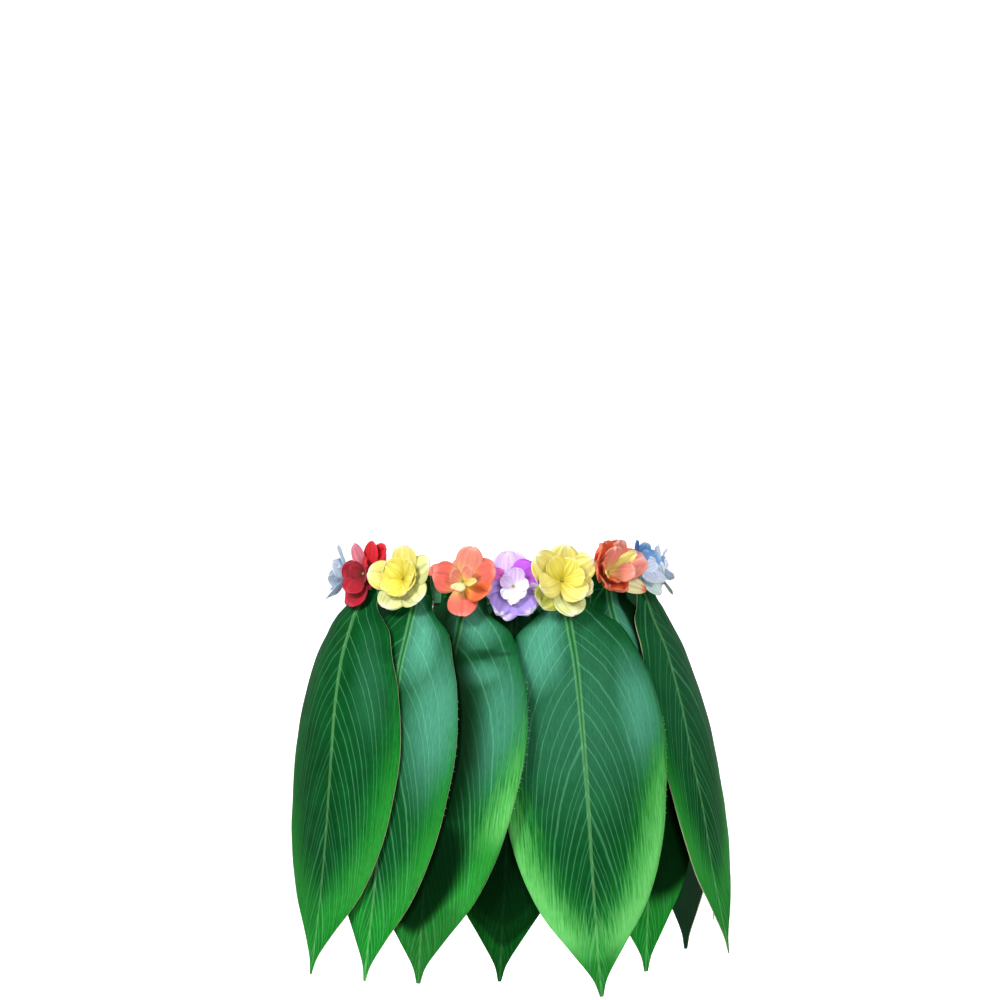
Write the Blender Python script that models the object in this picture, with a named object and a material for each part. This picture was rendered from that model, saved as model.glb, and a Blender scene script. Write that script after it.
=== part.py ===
"""Ti leaf skirt: an elastic waistband, sixteen broad cloth leaves hung from it, and sixteen cloth flowers
sewn over the tops of the leaves. It holds the round, open form that it has when worn. Metres, Z up, and the
front faces -Y. The origin is the middle of the waistband. A turn is an angle about Z in degrees: 0 at the
front, 90 at +X."""

import math

import bmesh
import bpy
from mathutils import Matrix, Vector

for old in list(bpy.data.objects):
    bpy.data.objects.remove(old, do_unlink=True)

MM = 0.001
GAP = 0.3 * MM

# The waistband dips a little at the front and the back, as one does on a body.
BAND_WALL = 2 * MM
BAND_HEIGHT = 22 * MM
BAND_HALF_WIDTH = 133 * MM
BAND_HALF_DEPTH = 96 * MM
BAND_STEPS = 64
FRONT_DIP = 17 * MM
BACK_DIP = 9 * MM

LEAF_WALL = 1.2 * MM
LEAF_COLUMNS = 8
LEAF_ROWS = (0, 0.07, 0.105, 0.14, 0.19, 0.25, 0.32, 0.4, 0.49, 0.58, 0.67, 0.75, 0.82, 0.88, 0.93, 0.965, 1)
RIB_RAISED = 1.0 * MM
RIB_CROWDING = 1.9
SPREAD_START = 13 * MM
SPREAD_LENGTH = 25 * MM

# The oval that the leaves hang round, in mm: drop below the waist, half width, half depth.
FIGURE = (
    (-12, 135.1, 98.1),
    (12, 135.1, 98.1),
    (35, 146, 107),
    (70, 163, 126),
    (125, 179, 143),
    (195, 190, 156),
    (260, 193, 162),
    (380, 192, 164),
)

# The outline of a leaf: share of its length from the waist, share of its greatest half width.
LEAF_CUT = (
    (0.00, 0.27),
    (0.06, 0.27),
    (0.09, 0.31),
    (0.14, 0.60),
    (0.20, 0.75),
    (0.28, 0.90),
    (0.42, 1.00),
    (0.55, 0.95),
    (0.68, 0.83),
    (0.80, 0.60),
    (0.90, 0.27),
    (0.96, 0.08),
    (1.00, 0.02),
)

# name, turn, swing of the tip and bow of the midrib in degrees, length downwards, half width, layer, lift of
# the right edge and flare of the tip in mm.
LEAVES = (
    ("leaf_01", -66, 7, 11, 344, 70, 5, 0.5, 1),
    ("leaf_02", -34.5, -5, 4, 342, 61, 0, 6, 0),
    ("leaf_03", -13.5, -10, -0.5, 339, 74, 0, 6, 0),
    ("leaf_04", 4.9, -8, 0, 336, 66, -10, 0, 0),
    ("leaf_05", 24, -1.5, -2.5, 353, 75, 0, 7, 0),
    ("leaf_06", 43.3, -7, 0, 339, 68, -4.5, 1, 0),
    ("leaf_07", 68, -3, -3, 338, 54, -0.5, -2, 13),
    ("leaf_08", 94, -2, 0, 318, 64, -10, 0, -4),
    ("leaf_09", 118, 6, 0, 347, 68, 0, 6, 0),
    ("leaf_10", 140, 0, 0, 335, 68, 0, 6, 0),
    ("leaf_11", 159.5, 0, 0, 342, 68, 0, 6, 0),
    ("leaf_12", 179.5, 2, 0, 330, 68, 0, 6, 0),
    ("leaf_13", 199.5, 4, 0, 336, 68, 0, 6, 0),
    ("leaf_14", 219.5, 4, 0, 338, 68, 0, 6, 0),
    ("leaf_15", 242, 4, 0, 325, 68, -3, 2, 0),
    ("leaf_16", 267, -7, 0, 328, 66, -11, 1, -4),
)

PETAL_WALL = 1.0 * MM
PETALS = 5
PETAL_OUTLINE = (0.7, 0.95, 1.0, 0.95)
FLOWER_PITCH = 12
OUTER_RINGS = 3
INNER_RINGS = 2
OUTER_CUP = 1.35
INNER_CUP = 1.15
INNER_SHARE = 0.66
INNER_STEEPER = 18
CUP_LIFT = 0.5 * MM

# name, turn, height above the waistband's middle in mm, radius in mm, cup slope in degrees, roll in degrees,
# outer colour, inner colour.
FLOWERS = (
    ("flower_01", -60, 6, 28, 13, 20, "C4122B", "D81A2E"),
    ("flower_02", -38, 5, 29, 28, 50, "DDE27A", "F2EC55"),
    ("flower_03", -14, 6, 29, 42, 10, "F26A54", "F79A4A"),
    ("flower_04", 3.9, 2, 27.5, 11, 35, "B79AE0", "EBDDF5"),
    ("flower_05", 21.7, 4, 29, 30, 60, "DDD94E", "F5EC62"),
    ("flower_06", 41, 6, 28, 42, 25, "F0714F", "F3B24F"),
    ("flower_07", 60.5, 5, 27, 16, 0, "5C84C4", "A9C4E6"),
    ("flower_08", 87, 3, 25, 16, 40, "C9D8F0", "E6EEF8"),
    ("flower_09", 116, 2, 28, 28, 15, "DDE27A", "F2EC55"),
    ("flower_10", 138, 3, 28, 13, 55, "F26A54", "F79A4A"),
    ("flower_11", 158.5, 2, 28, 42, 30, "B79AE0", "EBDDF5"),
    ("flower_12", 178.5, 2, 28, 13, 5, "DDD94E", "F5EC62"),
    ("flower_13", 198.5, 2, 28, 28, 45, "F0714F", "F3B24F"),
    ("flower_14", 218.5, 3, 28, 42, 20, "5C84C4", "A9C4E6"),
    ("flower_15", 241.5, 3, 28, 13, 60, "C4122B", "D81A2E"),
    ("flower_16", 270, 3, 28, 24, 35, "C9D8F0", "E6EEF8"),
)


def eased(rows, at):
    """A table's other columns at this value of its rising first one, by a smooth curve through its rows."""
    last = len(rows) - 1
    i = min(max(sum(row[0] <= at for row in rows) - 1, 0), last - 1)
    before, here, there, after = rows[max(i - 1, 0)], rows[i], rows[i + 1], rows[min(i + 2, last)]
    span = there[0] - here[0]
    t = min(max((at - here[0]) / span, 0.0), 1.0)
    values = []
    for b, h, n, a in zip(before[1:], here[1:], there[1:], after[1:]):
        start = (n - b) / (there[0] - before[0]) * span
        end = (a - h) / (after[0] - here[0]) * span
        values.append(h + t * (start + t * (3 * (n - h) - 2 * start - end + t * (start + end - 2 * (n - h)))))
    return values


def around(turn, half_width, half_depth, out):
    """The point at a turn on an upright oval, and this far out from it along its normal."""
    normal = Vector((math.sin(turn) / half_width, -math.cos(turn) / half_depth, 0)).normalized()
    return Vector((half_width * math.sin(turn), -half_depth * math.cos(turn), 0)) + out * normal


def waist_height(turn):
    facing = math.cos(turn)
    return -FRONT_DIP * max(facing, 0) ** 2 - BACK_DIP * max(-facing, 0) ** 2


def fabric(name, colour):
    """A cloth material of one colour, given as sRGB hex."""
    made = bpy.data.materials.new(name + "_cloth")
    made.use_nodes = True
    shader = made.node_tree.nodes["Principled BSDF"]
    linear = [(int(colour[k : k + 2], 16) / 255) ** 2.2 for k in (0, 2, 4)]
    shader.inputs["Base Color"].default_value = (*linear, 1)
    shader.inputs["Roughness"].default_value = 0.6
    made.diffuse_color = (*linear, 1)
    return made


def finished(name, mesh, colour):
    """Turns a bmesh into the named object."""
    data = bpy.data.meshes.new(name)
    mesh.to_mesh(data)
    mesh.free()
    data.materials.append(fabric(name, colour))
    bpy.context.scene.collection.objects.link(bpy.data.objects.new(name, data))


def make_band():
    """A flat strip of elastic closed to a ring: a rectangle spun round, then shaped to the waist."""
    mesh = bmesh.new()
    upright = Matrix.Translation((1, 0, 0)) @ Matrix.Rotation(math.pi / 2, 4, "X")
    bmesh.ops.create_grid(mesh, x_segments=1, y_segments=1, size=0.5, matrix=upright)
    bmesh.ops.delete(mesh, geom=mesh.faces[:], context="FACES_ONLY")
    section = mesh.verts[:] + mesh.edges[:]
    bmesh.ops.spin(mesh, geom=section, axis=(0, 0, 1), angle=2 * math.pi, steps=BAND_STEPS, use_merge=True)
    for vert in mesh.verts:
        turn = math.atan2(vert.co.x, -vert.co.y)
        out = BAND_WALL * (vert.co.to_2d().length - 1)
        height = BAND_HEIGHT * vert.co.z + waist_height(turn)
        vert.co = around(turn, BAND_HALF_WIDTH, BAND_HALF_DEPTH, out) + Vector((0, 0, height))
    bmesh.ops.recalc_face_normals(mesh, faces=mesh.faces[:])
    finished("waistband", mesh, "0C4A2A")


def leaf_place(leaf, x, v, side):
    """A point of a leaf: x -1 to 1 across it, v 0 to 1 down it, side -1 on its inner face, 1 on its outer."""
    _, turn, swing, bow, hang, widest, layer, lift, flare = leaf
    drop = hang * MM * v - BAND_HEIGHT / 2
    half_width, half_depth = (MM * size for size in eased(FIGURE, drop / MM))
    across = x * widest * MM * eased(LEAF_CUT, v)[0]
    middle = math.radians(turn + swing * v + bow * 4 * v * (1 - v))
    halfway = middle + across / 2 / math.hypot(half_width * math.cos(middle), half_depth * math.sin(middle))
    here = middle + across / math.hypot(half_width * math.cos(halfway), half_depth * math.sin(halfway))
    spread = math.sin(math.pi / 2 * min(max((drop - SPREAD_START) / SPREAD_LENGTH, 0), 1))
    out = spread * (layer + lift * across / (widest * MM)) + flare * v**3
    rib = RIB_RAISED * spread * (1 - v) if side > 0 and x == 0 else 0
    point = around(here, half_width, half_depth, out * MM + rib + side * LEAF_WALL / 2)
    point.z = waist_height(here) - drop
    return point


def make_leaf(leaf):
    """A leaf is one cut of satin, its midrib raised on the outer face: a grid closed to a thin wall."""
    mesh = bmesh.new()
    last_row = len(LEAF_ROWS) - 1
    bmesh.ops.create_grid(mesh, x_segments=LEAF_COLUMNS, y_segments=last_row, size=1)
    front = bmesh.ops.extrude_face_region(mesh, geom=mesh.faces[:], use_keep_orig=True)
    outer = {item for item in front["geom"] if isinstance(item, bmesh.types.BMVert)}
    for vert in mesh.verts:
        x = math.copysign(abs(round(vert.co.x, 6)) ** RIB_CROWDING, vert.co.x)
        v = LEAF_ROWS[round((1 - vert.co.y) / 2 * last_row)]
        vert.co = leaf_place(leaf, x, v, 1 if vert in outer else -1)
    bmesh.ops.recalc_face_normals(mesh, faces=mesh.faces[:])
    finished(leaf[0], mesh, "127038")


def make_petals(name, rings, centre, axes, form, colour):
    """One layer of petals cut in one piece: a sphere's upper and lower rings laid out as its two faces."""
    radius, slope, cup, roll, base = form
    mesh = bmesh.new()
    steps = PETALS * len(PETAL_OUTLINE)
    bmesh.ops.create_uvsphere(mesh, u_segments=steps, v_segments=2 * rings + 1, radius=1)
    right, up, outwards = axes
    wall = PETAL_WALL / math.cos(math.radians(slope))
    for vert in mesh.verts:
        ring = round(math.acos(max(-1, min(1, vert.co.z))) / math.pi * (2 * rings + 1))
        side = 1 if ring <= rings else -1
        share = min(ring, 2 * rings + 1 - ring) / rings
        angle = math.atan2(vert.co.y, vert.co.x)
        lobe = PETAL_OUTLINE[round(angle / (2 * math.pi) * steps) % len(PETAL_OUTLINE)]
        reach = radius * share * (1 + (lobe - 1) * share)
        rise = radius * math.tan(math.radians(slope)) * (reach / radius) ** cup
        spot = angle + math.radians(roll)
        flat = reach * (math.cos(spot) * right + math.sin(spot) * up)
        vert.co = centre + flat + (base + rise + side * wall / 2) * outwards
    finished(name, mesh, colour)


def make_flower(name, turn, height, radius, slope, roll, outer_colour, inner_colour):
    turn = math.radians(turn)
    pitch = math.radians(FLOWER_PITCH)
    on_band = around(turn, BAND_HALF_WIDTH, BAND_HALF_DEPTH, 0)
    normal = around(turn, BAND_HALF_WIDTH, BAND_HALF_DEPTH, 1) - on_band
    outwards = normal * math.cos(pitch) + Vector((0, 0, math.sin(pitch)))
    right = Vector((0, 0, 1)).cross(normal)
    axes = (right, outwards.cross(right), outwards)
    leaf_face = FIGURE[0][1] * MM - BAND_HALF_WIDTH + LEAF_WALL / 2
    centre = around(turn, BAND_HALF_WIDTH, BAND_HALF_DEPTH, leaf_face + GAP)
    centre.z = waist_height(turn) + height * MM
    inner_slope = slope + INNER_STEEPER
    half_outer = PETAL_WALL / 2 / math.cos(math.radians(slope))
    half_inner = PETAL_WALL / 2 / math.cos(math.radians(inner_slope))
    base = half_outer + CUP_LIFT
    top = base + half_outer + GAP + half_inner
    outer = (radius * MM, slope, OUTER_CUP, roll, base)
    inner = (radius * MM * INNER_SHARE, inner_slope, INNER_CUP, roll + 180 / PETALS, top)
    make_petals(name + "_outer", OUTER_RINGS, centre, axes, outer, outer_colour)
    make_petals(name + "_inner", INNER_RINGS, centre, axes, inner, inner_colour)


make_band()
for leaf in LEAVES:
    make_leaf(leaf)
for flower in FLOWERS:
    make_flower(*flower)
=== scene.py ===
"""Ti leaf skirt: an elastic waistband, sixteen printed satin leaves hung from it and sixteen cloth flowers
sewn over the tops of the leaves, round and open as when it is worn. Metres, Z up, and the front faces -Y."""

import math
import random

import bmesh
import bpy
from mathutils import Matrix, Vector, noise


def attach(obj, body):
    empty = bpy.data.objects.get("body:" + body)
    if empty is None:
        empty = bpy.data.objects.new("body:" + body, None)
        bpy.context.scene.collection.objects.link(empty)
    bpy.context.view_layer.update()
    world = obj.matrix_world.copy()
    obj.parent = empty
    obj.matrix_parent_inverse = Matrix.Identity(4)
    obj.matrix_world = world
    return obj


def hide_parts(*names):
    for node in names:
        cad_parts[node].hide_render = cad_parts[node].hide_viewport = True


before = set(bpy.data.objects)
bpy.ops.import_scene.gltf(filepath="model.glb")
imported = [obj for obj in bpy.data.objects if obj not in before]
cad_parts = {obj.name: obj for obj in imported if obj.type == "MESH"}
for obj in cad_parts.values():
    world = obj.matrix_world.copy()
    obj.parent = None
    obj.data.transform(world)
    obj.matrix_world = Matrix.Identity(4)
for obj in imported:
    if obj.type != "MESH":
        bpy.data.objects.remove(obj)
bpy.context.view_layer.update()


# The camera stands 2.4 m in front of the skirt, a little above the middle of the leaves, with a long lens. It
# is tipped up by 4.9 degrees, so that the skirt sits low in the picture, and rolled by 1.4 degrees.
CAMERA_AIM = Vector((0, 0, -0.2))
CAMERA_DISTANCE = 2.4
CAMERA_ELEVATION = math.radians(1.5)
CAMERA_TIP = math.radians(4.9)
CAMERA_ROLL = math.radians(1.4)
CAMERA_LENS = 97.2

forward = Vector((0, math.cos(CAMERA_TIP), math.sin(CAMERA_TIP)))
level = Vector((1, 0, 0))
upright = level.cross(forward)
camera_right = math.cos(CAMERA_ROLL) * level - math.sin(CAMERA_ROLL) * upright
camera_up = math.sin(CAMERA_ROLL) * level + math.cos(CAMERA_ROLL) * upright
camera = bpy.data.objects.new("camera", bpy.data.cameras.new("camera"))
camera.data.lens = CAMERA_LENS
stands = Vector((0, -math.cos(CAMERA_ELEVATION), math.sin(CAMERA_ELEVATION))) * CAMERA_DISTANCE
turned = Matrix((camera_right, camera_up, -forward)).transposed().to_4x4()
camera.matrix_world = Matrix.Translation(CAMERA_AIM + stands) @ turned
bpy.context.scene.collection.objects.link(camera)
bpy.context.scene.camera = camera
bpy.context.scene.view_settings.view_transform = "Standard"


# The studio: a white paper sweep, a floor well below the hem with a wall that curves up behind, in an evenly
# lit white room. The main soft light stands to the front left, a weaker one to the right and one behind.
FLOOR_DROP = 0.75
SWEEP_SIZE = 12.0
SWEEP_BEND = 1.5
SWEEP_BEHIND = 3.4
# How strongly the paper and the room light the skirt, and how bright they look.
PAPER_GLOW = (0.05, 0.75)
ROOM_GLOW = (0.27, 1.0)
SOFT_LIGHTS = (
    # name, azimuth and elevation in degrees, distance and width in metres, power in watts
    ("light_left", -42, 36, 2.2, 0.7, 54),
    ("light_right", 35, 30, 2.4, 1.2, 36),
    ("light_behind", 180, 50, 2.4, 1.4, 20),
)


def linear(colour):
    """sRGB hex as the linear colour that Blender's sockets take."""
    shares = [int(colour[k : k + 2], 16) / 255 for k in (0, 2, 4)]
    return (*[s / 12.92 if s <= 0.04045 else ((s + 0.055) / 1.055) ** 2.4 for s in shares], 1)


def set_inputs(node, links):
    """Gives each named or numbered input of a node a value, a link, or another node's first output."""
    for socket, value in links.items():
        if isinstance(value, bpy.types.Node):
            value = value.outputs[0]
        if isinstance(value, bpy.types.NodeSocket):
            node.id_data.links.new(value, node.inputs[socket])
        else:
            node.inputs[socket].default_value = value


def add_node(tree, kind, settings=None, links=None):
    """Adds one shader node with its settings and links."""
    made = tree.nodes.new("ShaderNode" + kind)
    for name, value in (settings or {}).items():
        setattr(made, name, value)
    set_inputs(made, links or {})
    return made


def new_material(name):
    """An empty node material, its nodes and its Principled shader."""
    made = bpy.data.materials.new(name)
    made.use_nodes = True
    return made, made.node_tree, made.node_tree.nodes["Principled BSDF"]


def new_piece(name, mesh, *materials):
    """Turns a bmesh into a smooth object of the scene."""
    data = bpy.data.meshes.new(name)
    mesh.to_mesh(data)
    mesh.free()
    data.shade_smooth()
    for material in materials:
        data.materials.append(material)
    made = bpy.data.objects.new(name, data)
    bpy.context.scene.collection.objects.link(made)
    return made


sweep_mesh = bmesh.new()
sweep_place = Matrix.Translation((0, SWEEP_BEHIND - SWEEP_SIZE / 2, -FLOOR_DROP))
bmesh.ops.create_grid(sweep_mesh, x_segments=1, y_segments=1, size=SWEEP_SIZE / 2, matrix=sweep_place)
far_edge = max(sweep_mesh.edges, key=lambda edge: sum(vert.co.y for vert in edge.verts))
wall = bmesh.ops.extrude_edge_only(sweep_mesh, edges=[far_edge])["geom"]
for vert in wall:
    if isinstance(vert, bmesh.types.BMVert):
        vert.co.z += SWEEP_SIZE / 2
bmesh.ops.bevel(
    sweep_mesh, geom=[far_edge], offset=SWEEP_BEND, segments=24, profile=0.5, affect="EDGES", material=-1
)
# Matt paper, so evenly lit that the eye finds no edge in it.
sweep_paper, tree, shader = new_material("white_paper_sweep")
seen = add_node(tree, "LightPath").outputs["Is Camera Ray"]
glow = add_node(tree, "MapRange", None, {"Value": seen, "To Min": PAPER_GLOW[0], "To Max": PAPER_GLOW[1]})
matt = {"Base Color": linear("FAFAFA"), "Roughness": 1.0, "Specular IOR Level": 0.0}
set_inputs(shader, {**matt, "Emission Color": linear("FFFFFF"), "Emission Strength": glow})
new_piece("paper_sweep", sweep_mesh, sweep_paper)

room = bpy.data.worlds.new("white_room")
room.use_nodes = True
tree = room.node_tree
seen = add_node(tree, "LightPath").outputs["Is Camera Ray"]
glow = add_node(tree, "MapRange", None, {"Value": seen, "To Min": ROOM_GLOW[0], "To Max": ROOM_GLOW[1]})
set_inputs(tree.nodes["Background"], {"Color": linear("FFFFFF"), "Strength": glow})
bpy.context.scene.world = room

for name, azimuth, elevation, distance, width, power in SOFT_LIGHTS:
    light = bpy.data.lights.new(name, "AREA")
    light.shape = "DISK"
    light.size = width
    light.energy = power
    a, e = math.radians(azimuth), math.radians(elevation)
    towards = Vector((math.sin(a) * math.cos(e), -math.cos(a) * math.cos(e), math.sin(e)))
    lamp = bpy.data.objects.new(name, light)
    lamp.location = CAMERA_AIM + distance * towards
    lamp.rotation_euler = towards.to_track_quat("Z", "Y").to_euler()
    bpy.context.scene.collection.objects.link(lamp)


# The waistband is a strip of dark green knitted elastic, 22 mm wide and 2 mm thick, joined to a ring. It is
# stretched to the waist, which dips at the front and the back, and everything else is sewn to it.
MM = 0.001
BAND_WALL = 2 * MM
BAND_HEIGHT = 22 * MM
BAND_HALF_WIDTH = 133 * MM
BAND_HALF_DEPTH = 96 * MM
BAND_OVAL = (BAND_HALF_WIDTH, BAND_HALF_DEPTH)
FRONT_DIP = 17 * MM
BACK_DIP = 9 * MM
BAND_FINE_STEPS = 256
# The strip is full thick up to this share of its half height, and then rounds off to its edges.
BAND_FULL_SHARE = 0.9
BAND_ROUNDING = 90
CORD_PITCH = 2.2 * MM
CORD_DEPTH = 0.25 * MM
CORD_ROWS = 40
# The crimp's spacing in mm, and how many waves Blender's wave texture has in one unit.
CRIMP_PITCH = 1.1
WAVES_PER_UNIT = 3.18
# Within this many mm of the join, the knit's map counts the same way from both sides.
SEAM_REACH = 5
BAND_FLAT = (0.72, 0.022)
ELASTIC_COLOUR = "0E4A2C"
ELASTIC_LIGHT = "2F7A4E"


def around(turn, half_width, half_depth, out):
    """The point at a turn on an upright oval, and this far out from it along its normal."""
    normal = Vector((math.sin(turn) / half_width, -math.cos(turn) / half_depth, 0)).normalized()
    return Vector((half_width * math.sin(turn), -half_depth * math.cos(turn), 0)) + out * normal


def waist_height(turn):
    """The height of the waist at this turn."""
    facing = math.cos(turn)
    return -FRONT_DIP * max(facing, 0) ** 2 - BACK_DIP * max(-facing, 0) ** 2


band_mesh = bmesh.new()
section_place = Matrix.Translation((1, 0, 0)) @ Matrix.Rotation(math.pi / 2, 4, "X")
bmesh.ops.create_grid(band_mesh, x_segments=1, y_segments=CORD_ROWS, size=0.5, matrix=section_place)
across = [edge for edge in band_mesh.edges if len(edge.link_faces) == 2]
bmesh.ops.delete(band_mesh, geom=band_mesh.faces[:], context="FACES_ONLY")
bmesh.ops.delete(band_mesh, geom=across, context="EDGES")
section = band_mesh.verts[:] + band_mesh.edges[:]
bmesh.ops.spin(
    band_mesh, geom=section, axis=(0, 0, 1), angle=math.tau, steps=BAND_FINE_STEPS, use_merge=True
)
band_places = {}
for vert in band_mesh.verts:
    turn = math.atan2(vert.co.x, -vert.co.y)
    side = 2 * (vert.co.to_2d().length - 1)
    height = vert.co.z
    cord = CORD_DEPTH * (math.cos(math.tau * height * BAND_HEIGHT / CORD_PITCH) - 1) / 2
    past = max(0.0, abs(height) * 2 - BAND_FULL_SHARE)
    rounded = BAND_WALL / 2 * math.sqrt(max(0.0, 1 - past**2 * BAND_ROUNDING))
    out = side * (rounded + cord)
    band_places[vert] = (turn * BAND_FLAT[0] / math.tau / MM, height * BAND_HEIGHT / MM)
    lift = Vector((0, 0, BAND_HEIGHT * height + waist_height(turn)))
    vert.co = around(turn, *BAND_OVAL, out) + lift
bmesh.ops.recalc_face_normals(band_mesh, faces=band_mesh.faces[:])
knit_map = band_mesh.loops.layers.uv.new("knit")
for face in band_mesh.faces:
    furthest = max(abs(band_places[loop.vert][0]) for loop in face.loops)
    seam = furthest > BAND_FLAT[0] / MM / 2 - SEAM_REACH
    for loop in face.loops:
        along, height = band_places[loop.vert]
        loop[knit_map].uv = (abs(along) if seam else along, height)

# Knitted polyester and rubber: dull, with the crimp of the stretched threads across the cords, 1.1 mm apart.
elastic, tree, shader = new_material("knitted_green_elastic")
knit = add_node(tree, "UVMap", {"uv_map": "knit"})
crimp = add_node(
    tree,
    "TexWave",
    {"wave_type": "BANDS", "bands_direction": "X"},
    {"Vector": knit, "Scale": 1 / CRIMP_PITCH / WAVES_PER_UNIT, "Distortion": 1.5, "Detail": 1.0},
).outputs["Fac"]
tint = add_node(tree, "MixRGB", None, {0: crimp, 1: linear(ELASTIC_COLOUR), 2: linear(ELASTIC_LIGHT)})
dents = add_node(tree, "Bump", None, {"Strength": 0.6, "Distance": 0.0002, "Height": crimp})
set_inputs(shader, {"Base Color": tint, "Normal": dents, "Roughness": 0.8, "Sheen Weight": 0.2})
band = new_piece("elastic_waistband", band_mesh, elastic)
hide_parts("waistband")
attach(band, "root")


# The leaves are cut from polyester satin printed as ti leaves, with a hot knife that seals the edge to a thin
# tan line. Each hangs by its narrow neck, sewn to the waistband, and its right edge stands off the next leaf.
SATIN_THICKNESS = 0.8 * MM
LEAF_FINE_COLUMNS = 48
LEAF_FINE_ROWS = 112
# A leaf's columns crowd towards its middle by this power.
RIB_CROWDING = 1.5
SPREAD_START = 13 * MM
SPREAD_LENGTH = 25 * MM
# Height and breadth of the midrib's lines, and depths of the waves, edge ripples and neck folds, in mm.
RIB_HEIGHT = 0.8
RIB_SPREAD = 1.5
WAVE_DEPTH = 1.1
RIPPLE_DEPTH = 0.5 * WAVE_DEPTH
NECK_FOLD_DEPTH = 0.7
# Over this share of the half width a crease dies out at its ends.
CREASE_FADE = 0.12
# Half the gap between the midrib's lines at the top, in mm, and the share of the length where they meet.
RIB_HALF_GAP = 2.6
RIB_MEETS = 0.80
FIGURE = (
    # how far below the waist, and the half width and half depth there, in mm
    (-12, 135.1, 98.1),
    (0, 135.1, 98.1),
    (12, 135.1, 98.1),
    (35, 146, 107),
    (70, 163, 126),
    (125, 179, 143),
    (195, 190, 156),
    (260, 193, 162),
    (380, 192, 164),
)
LEAF_CUT = (
    # share of the length, and share of the half width there
    (0, 0.27),
    (0.06, 0.27),
    (0.09, 0.31),
    (0.14, 0.6),
    (0.2, 0.75),
    (0.28, 0.9),
    (0.42, 1),
    (0.55, 0.95),
    (0.68, 0.83),
    (0.8, 0.6),
    (0.9, 0.27),
    (0.96, 0.08),
    (1, 0.02),
)
LEAVES = (
    # name, turn, swing of the tip and bow of the midrib in degrees, length downwards, half width, layer, lift
    # of the right edge and flare of the tip in mm
    ("leaf_01", -66, 7, 11, 344, 70, 5, 0.5, 1),
    ("leaf_02", -34.5, -5, 4, 342, 61, 0, 6, 0),
    ("leaf_03", -13.5, -10, -0.5, 339, 74, 0, 6, 0),
    ("leaf_04", 4.9, -8, 0, 336, 66, -10, 0, 0),
    ("leaf_05", 24, -1.5, -2.5, 353, 75, 0, 7, 0),
    ("leaf_06", 43.3, -7, 0, 339, 68, -4.5, 1, 0),
    ("leaf_07", 68, -3, -3, 338, 54, -0.5, -2, 13),
    ("leaf_08", 94, -2, 0, 318, 64, -10, 0, -4),
    ("leaf_09", 118, 6, 0, 347, 68, 0, 6, 0),
    ("leaf_10", 140, 0, 0, 335, 68, 0, 6, 0),
    ("leaf_11", 159.5, 0, 0, 342, 68, 0, 6, 0),
    ("leaf_12", 179.5, 2, 0, 330, 68, 0, 6, 0),
    ("leaf_13", 199.5, 4, 0, 336, 68, 0, 6, 0),
    ("leaf_14", 219.5, 4, 0, 338, 68, 0, 6, 0),
    ("leaf_15", 242, 4, 0, 325, 68, -3, 2, 0),
    ("leaf_16", 267, -7, 0, 328, 66, -11, 1, -4),
)
CREASES = (
    # the leaf's number, share of the length, slant, from and to across, depth and reach in mm
    (1, 0.46, 0.03, -1, -0.2, 0.7, 9),
    (1, 0.8, -0.02, 0.1, 1, 0.9, 7),
    (2, 0.58, 0.04, 0, 1, 0.8, 10),
    (3, 0.208, -0.03, -0.05, 1, 2.8, 3.2),
    (3, 0.33, 0.05, 0.1, 0.9, 0.6, 12),
    (5, 0.3, -0.05, 0.1, 1, 0.7, 12),
    (5, 0.672, 0.015, -0.7, 0.9, 0.9, 7),
    (5, 0.902, 0.01, -1, 0.9, 1.3, 5),
    (6, 0.24, -0.03, -0.1, 1, 0.8, 6),
    (7, 0.52, 0.02, -1, 0.3, 0.8, 9),
    (8, 0.35, 0.04, -0.8, 1, 0.9, 10),
    (9, 0.62, -0.03, -0.3, 1, 1.2, 8),
    (10, 0.27, 0.04, -0.2, 1, 1.6, 8),
    (10, 0.86, 0.01, -1, 0.8, 1, 6),
    (11, 0.52, -0.03, -1, 0.4, 1.1, 9),
    (12, 0.38, 0.03, 0, 1, 1.4, 7),
    (12, 0.75, -0.02, -0.6, 0.9, 0.9, 8),
    (13, 0.23, -0.04, 0, 1, 1.8, 7),
    (14, 0.66, 0.03, -0.9, 0.7, 1, 9),
    (15, 0.31, 0.05, -0.2, 1, 1.3, 8),
    (15, 0.9, -0.01, -1, 1, 1.1, 5),
    (16, 0.44, 0.03, -1, 0.5, 0.9, 9),
)
# The print of a leaf: how far the bright margin reaches in on the right, on both sides and at the tip, how
# bright it is and where down the leaf that fades, how far apart the midrib's lines stand, and where it lies.
USUAL_PRINT = {"right": 0.11, "side": 0.04, "tip": 1.1, "light": 0.9, "fade": (0.72, 0.9), "gap": 1, "rib": 0}
OWN_PRINTS = {
    1: {"light": 0.12, "gap": 0.6},
    2: {"light": 0.12, "right": 0.03},
    3: {"side": 0.14, "fade": (0.59, 0.7)},
    4: {"light": 0.05},
    5: {"light": 0.78, "right": 0.05, "side": 0.2, "tip": 0.8, "fade": (0.85, 0.93)},
    6: {"light": 0.12},
    7: {"light": 0.2, "right": 0, "gap": 0.4, "rib": -0.28},
    9: {"light": 0.1},
    16: {"gap": 0.5},
}
# The share of the length where the bright margin starts, and how fast it widens below.
MARGIN_START = 0.37
MARGIN_GROWTH = 1.3
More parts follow.
